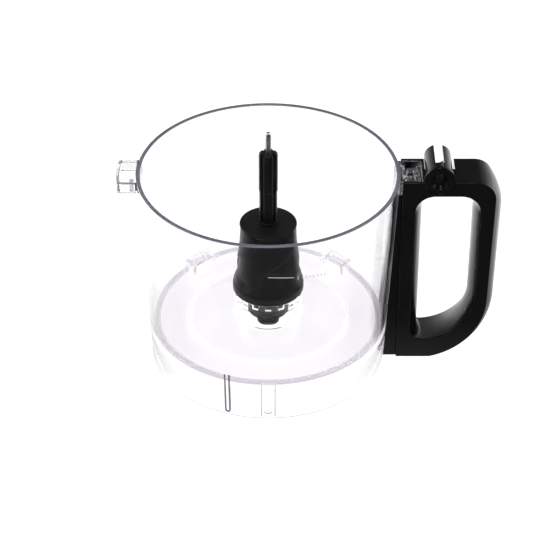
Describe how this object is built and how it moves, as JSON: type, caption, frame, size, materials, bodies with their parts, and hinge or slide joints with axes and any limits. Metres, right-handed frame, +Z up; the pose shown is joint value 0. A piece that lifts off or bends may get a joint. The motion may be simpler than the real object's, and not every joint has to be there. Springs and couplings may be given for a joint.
{
  "type": "food processor work bowl",
  "caption": "Clear work bowl of a food processor with a black D-shaped handle, a lid interlock and a lift-out disc drive stem in its centre.",
  "frame": {"origin": "on the drive axis, in the plane of the skirt's bottom edge", "axes": "+Z up along the drive axis, +X towards the handle, +Y to the open end of the lid lock's barrel"},
  "size_m": [0.2415, 0.165, 0.1656],
  "materials": {
    "clear_plastic": "polished clear copolyester",
    "handle_black": "satin moulded ABS",
    "stem_black": "fine-textured glass-filled nylon",
    "pin_steel": "polished stainless steel",
    "steel": "zinc plated",
    "white_acetal": "machined acetal"
  },
  "bodies": {
    "bowl": {"bowl_body": "clear_plastic", "handle_housing": "handle_black", "handle_cover": "handle_black", "handle_flange": "handle_black", "lid_lock_barrel": "handle_black", "barrel_end_ring": "handle_black", "lower_clamp": "handle_black", "clamp_screws": "steel", "cover_screws": "steel", "rod_guides": "white_acetal", "interlock_spring": "steel"},
    "interlock": {"interlock_rod": "stem_black", "rod_button": "stem_black", "spring_collar": "steel"},
    "stem_bearing": {"bearing_sleeve": "white_acetal", "thrust_washer": "steel"},
    "stem": {"stem_hub": "stem_black", "hub_collar": "stem_black", "stem_shaft": "stem_black", "stem_pin": "pin_steel", "drive_socket": "stem_black", "drive_insert": "steel"}
  },
  "joints": [
    {"name": "interlock_press", "type": "slide", "parent": "bowl", "child": "interlock", "axis": [0, 0, -1], "range_m": [0, 0.005], "stiffness_N_per_m": 300, "springref_m": -0.01, "deforming": ["interlock_spring"]},
    {"name": "stem_lift", "type": "slide", "parent": "bowl", "child": "stem_bearing", "axis": [0, 0, 1], "range_m": [0, 0.11]},
    {"name": "stem_spin", "type": "hinge", "parent": "stem_bearing", "child": "stem", "pos_m": [0, 0, 0.08], "axis": [0, 0, 1], "continuous": true}
  ]
}
